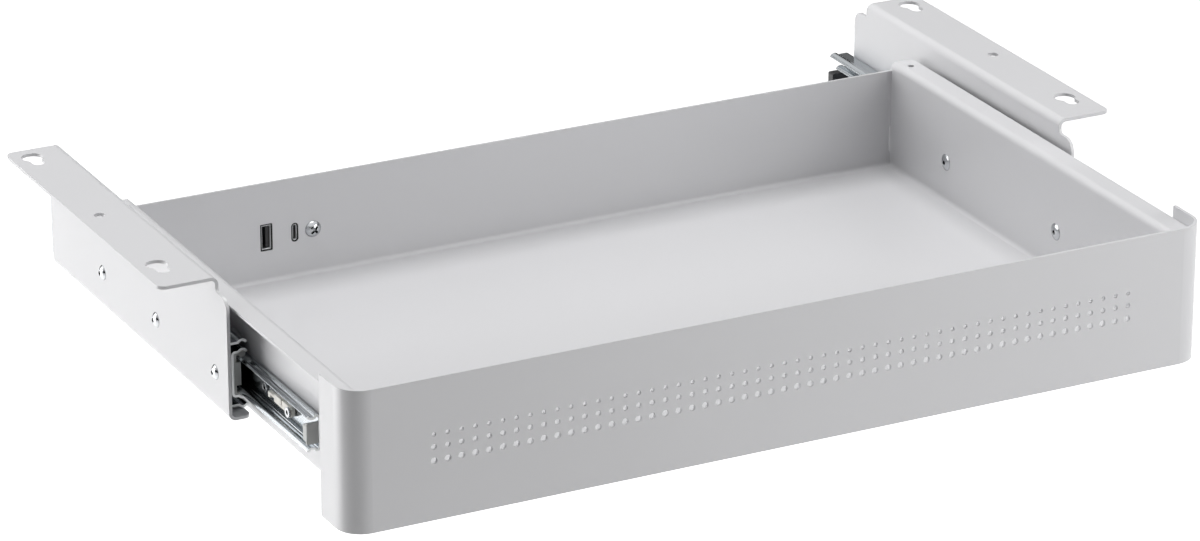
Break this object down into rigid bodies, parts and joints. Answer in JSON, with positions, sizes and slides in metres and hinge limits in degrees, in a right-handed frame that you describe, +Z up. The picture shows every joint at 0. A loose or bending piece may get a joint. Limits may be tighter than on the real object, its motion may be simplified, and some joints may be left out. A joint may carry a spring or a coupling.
{
  "type": "under-desk document drawer",
  "caption": "Shallow pull-out document drawer with a perforated front panel, hung under a desk on ball slides and folded brackets, with charging ports in its back wall.",
  "frame": {"origin": "on the desk's underside, midway between the middle holes of the two brackets", "axes": "+X to the right along the front panel, +Y from the front panel to the back, +Z up to the desk"},
  "size_m": [0.477, 0.324, 0.0713],
  "materials": {
    "powder_coat": "fine matt powder coat",
    "zinc_steel": "zinc plated",
    "cage_plastic": "moulded",
    "ball_steel": "polished",
    "fastener_steel": "nickel plated",
    "dark_plastic": "moulded",
    "nickel_shell": "nickel plated"
  },
  "bodies": {
    "brackets": {"left_bracket": "powder_coat", "right_bracket": "powder_coat", "left_cabinet_rail": "zinc_steel", "right_cabinet_rail": "zinc_steel", "left_bracket_screws": "fastener_steel", "right_bracket_screws": "fastener_steel", "left_rear_buffer": "dark_plastic", "right_rear_buffer": "dark_plastic"},
    "left_middle": {"left_middle_rail": "zinc_steel", "left_middle_stop": "dark_plastic"},
    "right_middle": {"right_middle_rail": "zinc_steel", "right_middle_stop": "dark_plastic"},
    "left_outer_cage": {"left_outer_cage": "cage_plastic", "left_outer_balls": "ball_steel"},
    "right_outer_cage": {"right_outer_cage": "cage_plastic", "right_outer_balls": "ball_steel"},
    "left_inner_cage": {"left_inner_cage": "cage_plastic", "left_inner_balls": "ball_steel"},
    "right_inner_cage": {"right_inner_cage": "cage_plastic", "right_inner_balls": "ball_steel"},
    "drawer": {"tray_pan": "powder_coat", "left_tray_wall": "powder_coat", "right_tray_wall": "powder_coat", "front_panel": "powder_coat", "left_drawer_rail": "zinc_steel", "right_drawer_rail": "zinc_steel", "left_rail_rivets": "fastener_steel", "right_rail_rivets": "fastener_steel", "left_front_buffer": "dark_plastic", "right_front_buffer": "dark_plastic", "left_lever_pin": "fastener_steel", "right_lever_pin": "fastener_steel", "usb_housing": "dark_plastic", "usb_a_shell": "nickel_shell", "usb_a_tongue": "dark_plastic", "usb_c_shell": "nickel_shell", "usb_c_tongue": "dark_plastic", "usb_screw": "fastener_steel"},
    "left_lever": {"left_release_lever": "dark_plastic"},
    "right_lever": {"right_release_lever": "dark_plastic"}
  },
  "joints": [
    {"name": "left_middle_slide", "type": "slide", "parent": "brackets", "child": "left_middle", "axis": [0, -1, 0], "range_m": [0, 0.1]},
    {"name": "drawer_slide", "type": "slide", "parent": "left_middle", "child": "drawer", "axis": [0, -1, 0], "range_m": [-0.0685, 0.027]},
    {"name": "right_middle_slide", "type": "slide", "parent": "brackets", "child": "right_middle", "axis": [0, -1, 0], "range_m": [0, 0.1]},
    {"name": "left_outer_cage_slide", "type": "slide", "parent": "brackets", "child": "left_outer_cage", "axis": [0, -1, 0], "range_m": [0, 0.05]},
    {"name": "right_outer_cage_slide", "type": "slide", "parent": "brackets", "child": "right_outer_cage", "axis": [0, -1, 0], "range_m": [0, 0.05]},
    {"name": "left_inner_cage_slide", "type": "slide", "parent": "left_middle", "child": "left_inner_cage", "axis": [0, -1, 0], "range_m": [-0.03425, 0.0135]},
    {"name": "right_inner_cage_slide", "type": "slide", "parent": "right_middle", "child": "right_inner_cage", "axis": [0, -1, 0], "range_m": [-0.03425, 0.0135]},
    {"name": "left_lever_hinge", "type": "hinge", "parent": "drawer", "child": "left_lever", "pos_m": [-0.2008, -0.1416, -0.0452], "axis": [1, 0, 0], "range_deg": [-6, 6], "stiffness_Nm_per_rad": 0.02},
    {"name": "right_lever_hinge", "type": "hinge", "parent": "drawer", "child": "right_lever", "pos_m": [0.2008, -0.1416, -0.0452], "axis": [1, 0, 0], "range_deg": [-6, 6], "stiffness_Nm_per_rad": 0.02}
  ],
  "couplings": [
    {"joint": "right_middle_slide", "follows": "left_middle_slide", "ratio": 1},
    {"joint": "left_outer_cage_slide", "follows": "left_middle_slide", "ratio": 0.5},
    {"joint": "right_outer_cage_slide", "follows": "left_middle_slide", "ratio": 0.5},
    {"joint": "left_inner_cage_slide", "follows": "drawer_slide", "ratio": 0.5},
    {"joint": "right_inner_cage_slide", "follows": "drawer_slide", "ratio": 0.5}
  ]
}
